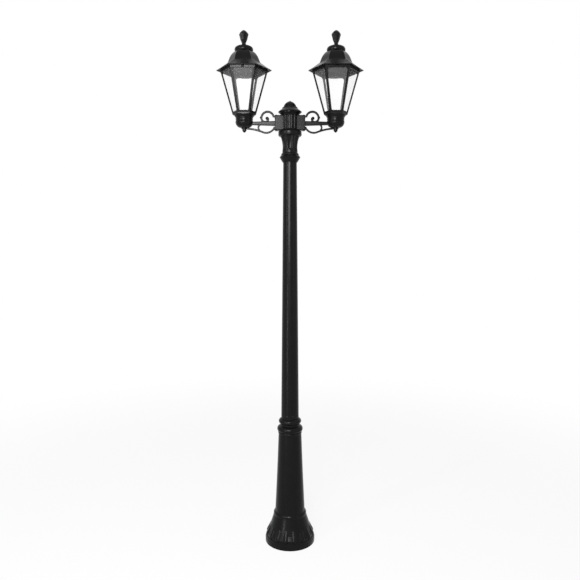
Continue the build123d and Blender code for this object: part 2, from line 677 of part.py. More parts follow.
with BuildPart() as roof:
    loft(sections=[hexagon(EAVE_Z, EAVE_R), hexagon(EAVE_Z + 2, EAVE_R)], ruled=True)
    loft(sections=[hexagon(EAVE_Z + 2, EAVE_R), hexagon(2124, 98.5), hexagon(*SKIRT_TOP)], ruled=True)
    loft(sections=[hexagon(z, r) for z, r in BELL])
    loft(sections=[hexagon(EAVE_Z - 0.1, EAVE_R - 4), hexagon(2123, 93), hexagon(*BELL_INSIDE[0])],
         ruled=True, mode=Mode.SUBTRACT)
    loft(sections=[hexagon(z, r) for z, r in BELL_INSIDE], mode=Mode.SUBTRACT)
    # ledge that presses on the seal
    with BuildSketch(Plane.XY.offset(2112)):
        RegularPolygon(111, 6)
        RegularPolygon(92, 6, mode=Mode.SUBTRACT)
    extrude(amount=2.5)
    with BuildSketch(Plane.XY.offset(ROOF_TOP)):
        Circle(4.2)
    extrude(amount=-8, mode=Mode.SUBTRACT)
    # middle hinge knuckle
    with BuildSketch(Plane.YZ.offset(-11.6)):
        with Locations((HINGE_Y, HINGE_Z)):
            Circle(KNUCKLE_R)
        with Locations((HINGE_Y, HINGE_Z + 4.5)):
            Rectangle(6, 9)
        with Locations((HINGE_Y, HINGE_Z)):
            Circle(HINGE_PIN_R + 0.1, mode=Mode.SUBTRACT)
    extrude(amount=23.2)
    # snap tab over the front rail
    with BuildSketch(Plane.XY.offset(2100.5)):
        with Locations((0, -91.8)):
            Rectangle(11, 3)
    extrude(amount=15.5)
save_pair(roof, "roof")

with BuildPart() as roof_seal:
    with BuildSketch(Plane.XY.offset(FRAME_TOP)):
        RegularPolygon(RAIL_R - 0.5, 6)
        RegularPolygon(RAIL_R - 3.8, 6, mode=Mode.SUBTRACT)
    extrude(amount=2)
save_pair(roof_seal, "roof_seal")

with BuildPart() as crown:
    with BuildSketch(Plane.XZ):
        with BuildLine():
            Polyline((4.2, CROWN_TOP), (11, CROWN_TOP), (12.5, CROWN_TOP - 2))
            ThreePointArc((12.5, CROWN_TOP - 2), (26, 2212), (36.5, 2206.5))
            ThreePointArc((36.5, 2206.5), (CROWN_R, 2200), (38.5, ROOF_TOP))
            Polyline((38.5, ROOF_TOP), (34.5, ROOF_TOP), (35, 2201))
            ThreePointArc((35, 2201), (24, 2207.5), (10, 2210.5))
            Polyline((10, 2210.5), (10, ROOF_TOP), (4.2, ROOF_TOP), (4.2, CROWN_TOP))
        make_face()
    revolve(axis=Axis.Z)
save_pair(crown, "crown")

# Finial: eight-sided bud, straight below its widest ring and bevelled above it.
NECK_R = 8.6
STUD_R = 3.9
BUD_LOW = 2226
BUD_PROFILE = ((BUD_LOW, 9.5), (2230, 11), (2239, 14.8), (2249, 17.2), (2261, 20.4),
               (2268, 17), (2274.5, 10.5), (FINIAL_TOP, 3))

with BuildPart() as finial:
    for z, corner_r in BUD_PROFILE:
        with BuildSketch(Plane.XY.offset(z)):
            RegularPolygon(corner_r, 8)
    loft(ruled=True)
    with BuildSketch(Plane.XY.offset(CROWN_TOP)):
        Circle(NECK_R)
    extrude(amount=BUD_LOW + 1 - CROWN_TOP)
    with BuildSketch(Plane.XY.offset(2178)):
        Circle(STUD_R)
    extrude(amount=CROWN_TOP + 1 - 2178)
save_pair(finial, "finial")

with BuildPart() as finial_nut:
    with BuildSketch(Plane.XY.offset(2185.5)):
        RegularPolygon(8, 6)
        Circle(STUD_R + 0.05, mode=Mode.SUBTRACT)
    extrude(amount=-5)
save_pair(finial_nut, "finial_nut")
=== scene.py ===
# %% [markdown]
# # A garden lamp post with two lanterns
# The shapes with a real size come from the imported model: the post, the scroll arms, the cages,
# the panes and the roofs. This script gives each of them its finish, makes the fine trim that
# the model leaves plain, and sets up the light and the camera.
# Blender works in metres here. The post stands on the Z axis, and the heights and places of the
# trim are read from the model's own pieces.

import json
import math

import bmesh
import bpy
import numpy as np
from mathutils import Matrix, Vector


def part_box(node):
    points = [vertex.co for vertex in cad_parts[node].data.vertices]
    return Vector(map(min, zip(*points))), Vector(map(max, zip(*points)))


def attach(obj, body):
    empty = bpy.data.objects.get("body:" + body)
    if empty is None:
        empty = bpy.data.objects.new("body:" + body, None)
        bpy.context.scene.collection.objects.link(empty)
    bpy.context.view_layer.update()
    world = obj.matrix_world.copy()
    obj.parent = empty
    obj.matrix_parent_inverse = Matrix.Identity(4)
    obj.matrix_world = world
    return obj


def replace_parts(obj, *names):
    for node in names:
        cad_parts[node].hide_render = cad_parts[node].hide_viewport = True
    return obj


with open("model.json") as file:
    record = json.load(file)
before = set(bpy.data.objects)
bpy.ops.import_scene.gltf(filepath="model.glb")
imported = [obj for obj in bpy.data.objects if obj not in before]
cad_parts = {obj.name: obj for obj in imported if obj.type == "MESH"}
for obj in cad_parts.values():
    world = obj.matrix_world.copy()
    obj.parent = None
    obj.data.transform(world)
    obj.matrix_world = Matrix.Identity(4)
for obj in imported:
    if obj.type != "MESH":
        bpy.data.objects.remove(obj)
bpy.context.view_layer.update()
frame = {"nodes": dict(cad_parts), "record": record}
nodes = frame["nodes"]
MM = 0.001

# %% [markdown]
# ## Colours and shader nodes
# A colour picked from a screen is an sRGB value, but a shader works with linear light, so one
# function turns a hex value into linear light. A second small function adds a node, sets its
# values and joins its inputs, and a third starts an empty material. The materials below are
# written with these three.

# %% Helpers for materials


def colour(hex_value):
    """Linear RGBA of an sRGB hex value such as '161617'."""
    out = []
    for i in (0, 2, 4):
        c = int(hex_value[i:i + 2], 16) / 255
        out.append(c / 12.92 if c <= 0.04045 else ((c + 0.055) / 1.055) ** 2.4)
    return (*out, 1.0)


def add(tree, kind, settings=(), links=()):
    """Add a node; settings are attributes or socket values, links are sockets that feed it.

    An input that takes several sockets, such as a boolean's, gets a list of them.
    """
    node = tree.nodes.new(kind)
    for name, value in dict(settings).items():
        if isinstance(name, str) and hasattr(node, name):
            setattr(node, name, value)
        else:
            node.inputs[name].default_value = value
    for name, sources in dict(links).items():
        for source in sources if isinstance(sources, list) else [sources]:
            tree.links.new(source, node.inputs[name])
    return node


def new_material(name):
    """An empty material and its node tree."""
    made = bpy.data.materials.new(name)
    made.use_nodes = True
    made.node_tree.nodes.clear()
    return made, made.node_tree


print("hex 808080 is linear", round(colour("808080")[0], 4))

# %% [markdown]
# ## Satin black resin
# The post is moulded from fibre-reinforced resin that imitates cast iron. Its skin is satin black
# with a fine cast grain, so a highlight is soft and slightly broken. The grain is a noise pattern
# of about 1.6 mm, drawn a little coarser than the real grain so that it shows, and a second,
# wider pattern lets the gloss vary as it does on a moulding. The pattern is read in object
# coordinates, so it stays in place when a lantern turns.

# %% Resin for the mouldings
GRAIN_MM = 1.6
CLOUD_MM = 45.0
GLOSS = (0.20, 0.30)   # roughness where the moulding is most and least glossy


def moulded_resin():
    made, tree = new_material("satin_black_resin")
    place = add(tree, "ShaderNodeTexCoord")
    grain = add(tree, "ShaderNodeTexNoise", {"Scale": 1 / (GRAIN_MM * MM), "Detail": 3.0},
                {"Vector": place.outputs["Object"]})
    cloud = add(tree, "ShaderNodeTexNoise", {"Scale": 1 / (CLOUD_MM * MM), "Detail": 4.0},
                {"Vector": place.outputs["Object"]})
    gloss = add(tree, "ShaderNodeMapRange", {"To Min": GLOSS[0], "To Max": GLOSS[1]},
                {"Value": cloud.outputs["Fac"]})
    tone = add(tree, "ShaderNodeValToRGB", (), {"Fac": cloud.outputs["Fac"]})
    tone.color_ramp.elements[0].color = colour("080809")
    tone.color_ramp.elements[1].color = colour("101011")
    bump = add(tree, "ShaderNodeBump", {"Strength": 0.30, "Distance": 0.4 * MM},
               {"Height": grain.outputs["Fac"]})
    skin = add(tree, "ShaderNodeBsdfPrincipled", {"IOR": 1.50, "Specular IOR Level": 0.10},
               {"Base Color": tone.outputs["Color"], "Roughness": gloss.outputs["Result"],
                "Normal": bump.outputs["Normal"]})
    add(tree, "ShaderNodeOutputMaterial", (), {"Surface": skin.outputs["BSDF"]})
    return made


resin = moulded_resin()
print("made", resin.name)

# %% [markdown]
# ## Clear acrylic
# The panes are thin moulded acrylic that has weathered to a slight haze: what is dark behind them
# looks mid grey. A clear sheet shows this best as a surface that is mostly see-through and
# partly a white, soft-lit skin. Alpha does that, once at each of the sheet's two faces.

# %% Acrylic for the panes
PANE_HAZE = 0.05
WAVE_MM = 60.0


def hazy_acrylic():
    made, tree = new_material("hazy_clear_acrylic")
    place = add(tree, "ShaderNodeTexCoord")
    wave = add(tree, "ShaderNodeTexNoise", {"Scale": 1 / (WAVE_MM * MM), "Detail": 2.0},
               {"Vector": place.outputs["Object"]})
    bump = add(tree, "ShaderNodeBump", {"Strength": 0.02, "Distance": 0.6 * MM},
               {"Height": wave.outputs["Fac"]})
    skin = add(tree, "ShaderNodeBsdfPrincipled",
               {"Base Color": colour("d4d5d4"), "IOR": 1.49, "Roughness": 0.18,
                "Alpha": PANE_HAZE},
               {"Normal": bump.outputs["Normal"]})
    add(tree, "ShaderNodeOutputMaterial", (), {"Surface": skin.outputs["BSDF"]})
    return made


acrylic = hazy_acrylic()
print("made", acrylic.name)

# %% [markdown]
# ## Metals, insulator, rubber and cable
# Zinc-coated steel has broad dull spangles, blackened screws are darker and smoother, and the
# brass contact is bright. The insulator is glazed white, and the seal and the cable sheath are
# matt black. Each gets a pattern of its own size, so none of them is one flat colour.

# %% A function for the small parts' finishes


def plain_finish(name, dark, light, pattern_mm, rough, metal=0.0, bump_mm=0.05):
    """A finish between two close tones on a pattern of a real size in millimetres."""
    made, tree = new_material(name)
    place = add(tree, "ShaderNodeTexCoord")
    noise = add(tree, "ShaderNodeTexNoise", {"Scale": 1 / (pattern_mm * MM), "Detail": 4.0},
                {"Vector": place.outputs["Object"]})
    tone = add(tree, "ShaderNodeValToRGB", (), {"Fac": noise.outputs["Fac"]})
    tone.color_ramp.elements[0].position = 0.35
    tone.color_ramp.elements[0].color = colour(dark)
    tone.color_ramp.elements[1].position = 0.65
    tone.color_ramp.elements[1].color = colour(light)
    bump = add(tree, "ShaderNodeBump", {"Strength": 0.2, "Distance": bump_mm * MM},
               {"Height": noise.outputs["Fac"]})
    skin = add(tree, "ShaderNodeBsdfPrincipled", {"Roughness": rough, "Metallic": metal},
               {"Base Color": tone.outputs["Color"], "Normal": bump.outputs["Normal"]})
    add(tree, "ShaderNodeOutputMaterial", (), {"Surface": skin.outputs["BSDF"]})
    return made


finishes = {
    "black_resin": resin,
    "clear_acrylic": acrylic,
    "galvanised_steel": plain_finish("zinc_coated_steel", "9a9da0", "b6b9bc", 6.0, 0.48, 1.0),
    "screw_steel": plain_finish("blackened_steel", "242426", "343437", 1.0, 0.36, 1.0),
    "brass_contact": plain_finish("bright_brass", "c9a25a", "d9b56c", 2.0, 0.25, 1.0),
    "white_insulator": plain_finish("glazed_insulator", "e4e2da", "efede6", 3.0, 0.22),
    "seal_rubber": plain_finish("seal_rubber", "161616", "202020", 0.8, 0.85),
    "cable_sheath": plain_finish("cable_sheath", "1a1a1b", "252526", 1.2, 0.60),
}
print("finishes", len(finishes))

# %% [markdown]
# ## Give every piece of the model its finish
# The record says which slot each piece takes, so the same table serves here. A piece of the model
# is never moved or reshaped: only its material slots are filled.

# %% Assign the finishes
slot_of = {part["node"]: part["material_slot"] for part in frame["record"]["subparts"]}
for name, node in nodes.items():
    node.data.materials.clear()
    node.data.materials.append(finishes[slot_of[name]])
print("pieces with a finish", sum(1 for n in nodes.values() if n.data.materials[0]))

# %% [markdown]
# ## Geometry Nodes for what repeats
# Beads, screws, flutes and threads follow a rule, so each is a small tree of geometry nodes with
# named inputs for its sizes. The same small function that adds shader nodes adds these. A tree
# ends in Realize Instances and Set Material, and its result is taken as a plain mesh, so that
# nothing live is left on a finished piece.

# %% Build a tree, and run it


def new_tree(name, inputs):
    """A geometry tree with these named inputs; returns it with its input sockets."""
    tree = bpy.data.node_groups.new(name, "GeometryNodeTree")
    tree.interface.new_socket("Geometry", in_out="INPUT", socket_type="NodeSocketGeometry")
    tree.interface.new_socket("Geometry", in_out="OUTPUT", socket_type="NodeSocketGeometry")
    for key, value in inputs.items():
        kind = "NodeSocketInt" if isinstance(value, int) else "NodeSocketFloat"
        tree.interface.new_socket(key, in_out="INPUT", socket_type=kind).default_value = value
    tree.interface.new_socket("Finish", in_out="INPUT", socket_type="NodeSocketMaterial")
    return tree, add(tree, "NodeGroupInput").outputs


def end_tree(tree, geometry, finish):
    """Real faces with the finish on them, sent to the output."""
    real = add(tree, "GeometryNodeRealizeInstances", (), {"Geometry": geometry})
    done = add(tree, "GeometryNodeSetMaterial", (), {"Geometry": real.outputs[0],
                                                     "Material": finish})
    add(tree, "NodeGroupOutput", (), {"Geometry": done.outputs[0]})


def grow(tree, values, start=None):
    """Run a tree with these input values on a start mesh, and give back a plain mesh."""
    maker = bpy.data.objects.new("maker", start or bpy.data.meshes.new("start"))
    bpy.context.scene.collection.objects.link(maker)
    modifier = maker.modifiers.new("nodes", "NODES")
    modifier.node_group = tree
    for item in tree.interface.items_tree:
        if item.in_out == "INPUT" and item.name in values:
            modifier[item.identifier] = values[item.name]
    seen = maker.evaluated_get(bpy.context.evaluated_depsgraph_get())
    made = bpy.data.meshes.new_from_object(seen)
    maker.modifiers.clear()
    bpy.data.objects.remove(maker)
    return made


WELD = 1e-6          # metres; corners nearer than this are one
SHARP_DEGREES = 35


def settle(name, meshes, body, slot):
    """Join meshes into one piece with smooth faces and sharp edges, and let a body carry it."""
    joined = bmesh.new()
    for mesh in meshes:
        joined.from_mesh(mesh)
    bmesh.ops.remove_doubles(joined, verts=joined.verts, dist=WELD)
    bmesh.ops.recalc_face_normals(joined, faces=joined.faces)
    open_edges = sum(not edge.is_manifold for edge in joined.edges)
    whole = bpy.data.meshes.new(name)
    joined.to_mesh(whole)
    joined.free()
    whole.materials.clear()
    whole.materials.append(finishes[slot])
    whole.shade_smooth()
    whole.set_sharp_from_angle(angle=math.radians(SHARP_DEGREES))
    piece = bpy.data.objects.new(name, whole)
    bpy.context.scene.collection.objects.link(piece)
    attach(piece, body)
    print(name, "has", len(whole.polygons), "faces and", open_edges, "open edges")
    return piece


print("helpers ready")

# %% [markdown]
# ## Beads round the cap
# The domed cap on the hub has a ring of small cast beads where its dome meets its skirt. A mesh
# circle gives evenly spaced points, and each point carries one small ball.

# %% The bead ring
bead_tree, given = new_tree("bead_ring", {"Ring Radius": 31.6 * MM, "Bead Radius": 1.9 * MM,
                                          "Beads": 30, "Height": 1.95})
ring = add(bead_tree, "GeometryNodeMeshCircle", (), {"Vertices": given["Beads"],
                                                     "Radius": given["Ring Radius"]})
ball = add(bead_tree, "GeometryNodeMeshUVSphere", {"Segments": 14, "Rings": 9},
           {"Radius": given["Bead Radius"]})
beads = add(bead_tree, "GeometryNodeInstanceOnPoints", (), {"Points": ring.outputs["Mesh"],
                                                            "Instance": ball.outputs["Mesh"]})
rise = add(bead_tree, "ShaderNodeCombineXYZ", (), {"Z": given["Height"]})
lifted = add(bead_tree, "GeometryNodeTransform", (), {"Geometry": beads.outputs["Instances"],
                                                      "Translation": rise.outputs["Vector"]})
end_tree(bead_tree, lifted.outputs["Geometry"], given["Finish"])

cap_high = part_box("hub_cap")[1]
BEADS_BELOW_TIP = 31.5 * MM
beads = grow(bead_tree, {"Height": cap_high.z - BEADS_BELOW_TIP, "Finish": resin})
settle("cap_beads", [beads], "root", "black_resin")

# %% [markdown]
# ## Screws with a cross recess
# Nearly every screw is a pan head with a cross cut into it, on a plain shank. The one that locks
# the capital has no head, and the cross is in its end. The model's screws have no recess, so the
# seat and direction of each are measured on its own solid, and a screw with a recess takes its
# place. The screws of one node are alike, so the first of them gives the sizes. The top of a
# flattened ball, cut to the head's width, gives the domed head, and Mesh Boolean cuts the cross:
# its Manifold solver leaves a closed mesh. The points and the screws are sorted, so that each run
# of the script gives exactly the same meshes.

# %% Measure the screws of a node
SAME_RADIUS = 0.1 * MM      # a screw whose radii differ by less than this has no head
HEADLESS_DEPTH = 1.5 * MM   # of a screw with no head, how much of its end counts as one
DECIMALS = 5                # kept of a direction or a place; the digits past them may vary


def screws_of(node):
    """For each solid: seat, turn, and the sizes of its head and shank, in metres."""
    work = bmesh.new()
    work.from_mesh(nodes[node].data)
    bmesh.ops.remove_doubles(work, verts=work.verts, dist=WELD)
    left, rows = set(work.verts), []
    while left:
        island, waiting = set(), [left.pop()]
        while waiting:
            vert = waiting.pop()
            island.add(vert)
            near = {edge.other_vert(vert) for edge in vert.link_edges} & left
            left -= near
            waiting += near
        points = np.array(sorted(v.co[:] for v in island))
        centre = points.mean(axis=0)
        axis = np.round(np.linalg.svd(points - centre)[2][0], DECIMALS)
        axis /= np.linalg.norm(axis)
        along = (points - centre) @ axis
        off = np.linalg.norm(points - centre - np.outer(along, axis), axis=1)
        # the head is the wider end, and a screw without one points away from the post
        ahead, behind = along > along.mean(), along < along.mean()
        if off[ahead].max() < off[behind].max() - SAME_RADIUS:
            axis, along = -axis, -along
        headless = off.max() < off.min() + SAME_RADIUS
        if headless and axis[:2] @ centre[:2] < 0:
            axis, along = -axis, -along
        wide = off > (off.max() + off.min()) / 2
        seat_at = along.max() - HEADLESS_DEPTH if headless else along[wide].min()
        rows.append({
            "seat": centre + axis * seat_at,
            "turn": Vector(axis).to_track_quat("Z", "Y").to_euler(),
            "head": (off.max(), along.max() - seat_at),
            "shank": (off.max() if headless else off[~wide].max(), seat_at - along.min()),
        })
    work.free()
    return sorted(rows, key=lambda row: tuple(np.round(row["seat"], DECIMALS)))


for node in ("foot_screws", "frame_screws_left"):
    first = screws_of(node)[0]
    print(node, "head and shank in mm", [round(v / MM, 2) for v in (*first["head"],
                                                                    *first["shank"])])

# %% The screw tree: a domed head
DOME_SPREAD = 1.15    # the ball's radius in head radii, so that the head keeps a straight rim

screw_tree, given = new_tree("cross_recess_screw", {
    "Head Radius": 4.0 * MM, "Head Height": 2.4 * MM, "Shank Radius": 2.0 * MM,
    "Shank Length": 12.0 * MM, "Recess Width": 0.2, "Recess Depth": 0.6})
head = add(screw_tree, "ShaderNodeCombineXYZ", (), {
    "X": given["Head Radius"], "Y": given["Head Radius"], "Z": given["Head Height"]})
top = add(screw_tree, "ShaderNodeCombineXYZ", (), {"Z": given["Head Height"]})
ball = add(screw_tree, "GeometryNodeMeshUVSphere", {"Segments": 32, "Rings": 20, "Radius": 1.0})
spread = add(screw_tree, "ShaderNodeVectorMath",
             {"operation": "MULTIPLY", 1: (DOME_SPREAD, DOME_SPREAD, 1.0)},
             {0: head.outputs["Vector"]})
dome = add(screw_tree, "GeometryNodeTransform", (), {
    "Geometry": ball.outputs["Mesh"], "Scale": spread.outputs["Vector"]})
tall = add(screw_tree, "ShaderNodeMath", {"operation": "MULTIPLY", 1: 2.0},
           {0: given["Head Height"]})
puck = add(screw_tree, "GeometryNodeMeshCylinder", {"Vertices": 32},
           {"Radius": given["Head Radius"], "Depth": tall.outputs["Value"]})
puck_up = add(screw_tree, "GeometryNodeTransform", (), {
    "Geometry": puck.outputs["Mesh"], "Translation": top.outputs["Vector"]})
pan = add(screw_tree, "GeometryNodeMeshBoolean",
          {"operation": "INTERSECT", "solver": "MANIFOLD"},
          {"Mesh 2": [dome.outputs["Geometry"], puck_up.outputs["Geometry"]]})
print("a head takes", len(screw_tree.nodes), "nodes")

# %% The screw tree: the cross, cut by two bars
BAR_LENGTH = 1.05     # the length of each bar, in head radii

deep = add(screw_tree, "ShaderNodeMath", {"operation": "MULTIPLY", 1: 2.0},
           {0: given["Recess Depth"]})
bars = []
for thin, long in (("X", "Y"), ("Y", "X")):
    share = add(screw_tree, "ShaderNodeCombineXYZ", {long: BAR_LENGTH},
                {thin: given["Recess Width"], "Z": deep.outputs["Value"]})
    size = add(screw_tree, "ShaderNodeVectorMath", {"operation": "MULTIPLY"},
               {0: head.outputs["Vector"], 1: share.outputs["Vector"]})
    bar = add(screw_tree, "GeometryNodeMeshCube", (), {"Size": size.outputs["Vector"]})
    bar_up = add(screw_tree, "GeometryNodeTransform", (), {
        "Geometry": bar.outputs["Mesh"], "Translation": top.outputs["Vector"]})
    bars.append(bar_up.outputs["Geometry"])
crossed = add(screw_tree, "GeometryNodeMeshBoolean",
              {"operation": "DIFFERENCE", "solver": "MANIFOLD"},
              {"Mesh 1": pan.outputs["Mesh"], "Mesh 2": bars})
print("bars that cut a cross", len(bars))

# %% The screw tree: the shank, and a screw on each seat
SHANK_SHIFT = -0.49   # of its length, just short of half, so that its top lies in the head

shank = add(screw_tree, "GeometryNodeMeshCylinder", {"Vertices": 24},
            {"Radius": given["Shank Radius"], "Depth": given["Shank Length"]})
sink = add(screw_tree, "ShaderNodeMath", {"operation": "MULTIPLY", 1: SHANK_SHIFT},
           {0: given["Shank Length"]})
down = add(screw_tree, "ShaderNodeCombineXYZ", (), {"Z": sink.outputs["Value"]})
shank_down = add(screw_tree, "GeometryNodeTransform", (), {
    "Geometry": shank.outputs["Mesh"], "Translation": down.outputs["Vector"]})
screw = add(screw_tree, "GeometryNodeMeshBoolean", {"operation": "UNION", "solver": "MANIFOLD"},
            {"Mesh 2": [crossed.outputs["Mesh"], shank_down.outputs["Geometry"]]})
turn = add(screw_tree, "GeometryNodeInputNamedAttribute",
           {"data_type": "FLOAT_VECTOR", "Name": "turn"})
turned = add(screw_tree, "FunctionNodeEulerToRotation", (),
             {"Euler": turn.outputs["Attribute"]})
placed = add(screw_tree, "GeometryNodeInstanceOnPoints", (), {
    "Points": given["Geometry"], "Instance": screw.outputs["Mesh"],
    "Rotation": turned.outputs["Rotation"]})
end_tree(screw_tree, placed.outputs["Instances"], given["Finish"])
print("screw tree has", len(screw_tree.nodes), "nodes")

# %% Put the screws in place
screw_groups = {
    "post_screws": ("root", ["foot_screws", "shaft_screws", "capital_screw", "hub_cap_screw",
                             "arm_screws_left", "arm_screws_right"]),
    "cage_screws_left": ("lantern_left", ["frame_screws_left"]),
    "cage_screws_right": ("lantern_right", ["frame_screws_right"]),
}
for name, (body, members) in screw_groups.items():
    meshes = []
    for node in members:
        rows = screws_of(node)
        start = bpy.data.meshes.new(node + "_seats")
        start.from_pydata([tuple(row["seat"]) for row in rows], [], [])
        turns = start.attributes.new("turn", "FLOAT_VECTOR", "POINT")
        turns.data.foreach_set("vector", [angle for row in rows for angle in row["turn"]])
        head_radius, head_height = rows[0]["head"]
        shank_radius, shank_length = rows[0]["shank"]
        meshes.append(grow(screw_tree, {
            "Head Radius": float(head_radius), "Head Height": float(head_height),
            "Shank Radius": float(shank_radius), "Shank Length": float(shank_length),
            "Finish": finishes["screw_steel"]}, start))
    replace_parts(settle(name, meshes, body, "screw_steel"), *members)

# %% [markdown]
# ## The fluted capital
# The capital is a turned bell with a sharp ring below it and eight scooped flutes up its side.
# Its shape is a rule: the radius at any height comes from the turned profile, and a scoop takes
# a little off it. So a grid is rolled up round the axis, each row taking its radius and height
# from one point of the profile, and the scoop is worked out from the angle and the height.

# %% The capital's profile: radius and height in millimetres, from its lowest edge


def arc(first, through, last, steps):
    """Points on the circle through three points, without the first one."""
    (ax, ay), (bx, by), (cx, cy) = first, through, last
    d = 2 * (ax * (by - cy) + bx * (cy - ay) + cx * (ay - by))
    a2, b2, c2 = ax * ax + ay * ay, bx * bx + by * by, cx * cx + cy * cy
    ux = (a2 * (by - cy) + b2 * (cy - ay) + c2 * (ay - by)) / d
    uy = (a2 * (cx - bx) + b2 * (ax - cx) + c2 * (bx - ax)) / d
    start, mid, end = (math.atan2(y - uy, x - ux) for x, y in (first, through, last))
    sweep = (end - start) % math.tau
    if (mid - start) % math.tau > sweep:
        sweep -= math.tau
    radius = math.hypot(ax - ux, ay - uy)
    return [(ux + radius * math.cos(start + sweep * i / steps),
             uy + radius * math.sin(start + sweep * i / steps)) for i in range(1, steps + 1)]


def straight(first, last, steps):
    """Points on a line, without the first one."""
    return [(first[0] + (last[0] - first[0]) * i / steps,
             first[1] + (last[1] - first[1]) * i / steps) for i in range(1, steps + 1)]


capital_low, capital_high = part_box("capital")
profile = [(30.2, 0), (32.6, 0), (45.1, 21.3), (45.5, 22), (45.0, 22.7), (38, 32)]
profile += arc((38, 32), (38.2, 36.5), (34.6, 39), steps=8)
profile += [(33.5, 41)] + straight((33.5, 41), (33.5, 66), steps=22)
profile += arc((33.5, 66), (35.9, 88), (42.5, 111), steps=34)
profile += [(24, 111), (24, 42), (30.2, 42)]
print("profile has", len(profile), "points; height in mm", round(max(z for _, z in profile), 2),
      "and of the model's capital", round((capital_high.z - capital_low.z) / MM, 2))

# %% The bell's grid: a row for each point of the profile, a column for each angle
bell_tree, given = new_tree("fluted_bell", {
    "Flutes": 8, "Around": 240, "Flute Depth": 4.4 * MM, "Flute Half Angle": 0.30,
    "Flute Foot": 1.78, "Foot Rounding": 12.0 * MM, "Bore": 31.0 * MM})
size = add(bell_tree, "GeometryNodeAttributeDomainSize", {"component": "MESH"},
           {"Geometry": given["Geometry"]})
points = size.outputs["Point Count"]
# the first row and the first column come twice, so that the bell closes both ways
rows = add(bell_tree, "ShaderNodeMath", {"operation": "ADD", 1: 1.0}, {0: points}).outputs[0]
columns = add(bell_tree, "ShaderNodeMath", {"operation": "ADD", 1: 1.0},
              {0: given["Around"]}).outputs[0]
grid = add(bell_tree, "GeometryNodeMeshGrid", (), {"Vertices X": columns, "Vertices Y": rows})
index = add(bell_tree, "GeometryNodeInputIndex").outputs["Index"]
row = add(bell_tree, "ShaderNodeMath", {"operation": "FLOORED_MODULO"},
          {0: index, 1: rows}).outputs[0]
row = add(bell_tree, "ShaderNodeMath", {"operation": "FLOORED_MODULO"},
          {0: row, 1: points}).outputs[0]
column = add(bell_tree, "ShaderNodeMath", {"operation": "DIVIDE"},
             {0: index, 1: rows}).outputs[0]
column = add(bell_tree, "ShaderNodeMath", {"operation": "FLOOR"}, {0: column}).outputs[0]
share = add(bell_tree, "ShaderNodeMath", {"operation": "DIVIDE"},
            {0: column, 1: given["Around"]}).outputs[0]
angle = add(bell_tree, "ShaderNodeMath", {"operation": "MULTIPLY", 1: math.tau},
            {0: share}).outputs[0]
place = add(bell_tree, "GeometryNodeInputPosition").outputs["Position"]
at = add(bell_tree, "GeometryNodeSampleIndex", {"data_type": "FLOAT_VECTOR"},
         {"Geometry": given["Geometry"], "Value": place, "Index": row})
spot = add(bell_tree, "ShaderNodeSeparateXYZ", (), {"Vector": at.outputs["Value"]})
radius, height = spot.outputs["X"], spot.outputs["Z"]
print("a grid takes", len(bell_tree.nodes), "nodes")

# %% How deep the scoop is at each place
# how far round from the middle of the nearest flute, as a share of half a flute
half_pitch = add(bell_tree, "ShaderNodeMath", {"operation": "DIVIDE", 0: math.pi},
                 {1: given["Flutes"]}).outputs[0]
folded = add(bell_tree, "ShaderNodeMath", {"operation": "PINGPONG"},
             {0: angle, 1: half_pitch}).outputs[0]
aside = add(bell_tree, "ShaderNodeMath", {"operation": "DIVIDE"},
            {0: folded, 1: given["Flute Half Angle"]}).outputs[0]
aside_squared = add(bell_tree, "ShaderNodeMath", {"operation": "MULTIPLY"},
                    {0: aside, 1: aside}).outputs[0]
# how far below the flute's foot, as a share of the foot's rounding
under = add(bell_tree, "ShaderNodeMath", {"operation": "SUBTRACT"},
            {0: given["Flute Foot"], 1: height}).outputs[0]
under = add(bell_tree, "ShaderNodeMath", {"operation": "MAXIMUM", 1: 0.0},
            {0: under}).outputs[0]
under = add(bell_tree, "ShaderNodeMath", {"operation": "DIVIDE"},
            {0: under, 1: given["Foot Rounding"]}).outputs[0]
under_squared = add(bell_tree, "ShaderNodeMath", {"operation": "MULTIPLY"},
                    {0: under, 1: under}).outputs[0]
# 1 less both squares is a round trough that ends in a round foot
reach = add(bell_tree, "ShaderNodeMath", {"operation": "ADD"},
            {0: aside_squared, 1: under_squared}).outputs[0]
scoop = add(bell_tree, "ShaderNodeMath", {"operation": "SUBTRACT", 0: 1.0, "use_clamp": True},
            {1: reach}).outputs[0]
outside = add(bell_tree, "ShaderNodeMath", {"operation": "GREATER_THAN"},
              {0: radius, 1: given["Bore"]}).outputs[0]
scoop = add(bell_tree, "ShaderNodeMath", {"operation": "MULTIPLY"},
            {0: scoop, 1: outside}).outputs[0]
depth = add(bell_tree, "ShaderNodeMath", {"operation": "MULTIPLY"},
            {0: scoop, 1: given["Flute Depth"]}).outputs[0]
scooped = add(bell_tree, "ShaderNodeMath", {"operation": "SUBTRACT"},
              {0: radius, 1: depth}).outputs[0]
print("grid and scoop take", len(bell_tree.nodes), "nodes")

# %% Roll the grid up into the bell
sides = {}
for name, wave in (("X", "COSINE"), ("Y", "SINE")):
    turned = add(bell_tree, "ShaderNodeMath", {"operation": wave}, {0: angle}).outputs[0]
    sides[name] = add(bell_tree, "ShaderNodeMath", {"operation": "MULTIPLY"},
                      {0: scooped, 1: turned}).outputs[0]
spot = add(bell_tree, "ShaderNodeCombineXYZ", (), {**sides, "Z": height})
rolled = add(bell_tree, "GeometryNodeSetPosition", (), {
    "Geometry": grid.outputs["Mesh"], "Position": spot.outputs["Vector"]})
closed = add(bell_tree, "GeometryNodeMergeByDistance", {"Distance": WELD},
             {"Geometry": rolled.outputs["Geometry"]})
end_tree(bell_tree, closed.outputs["Geometry"], given["Finish"])

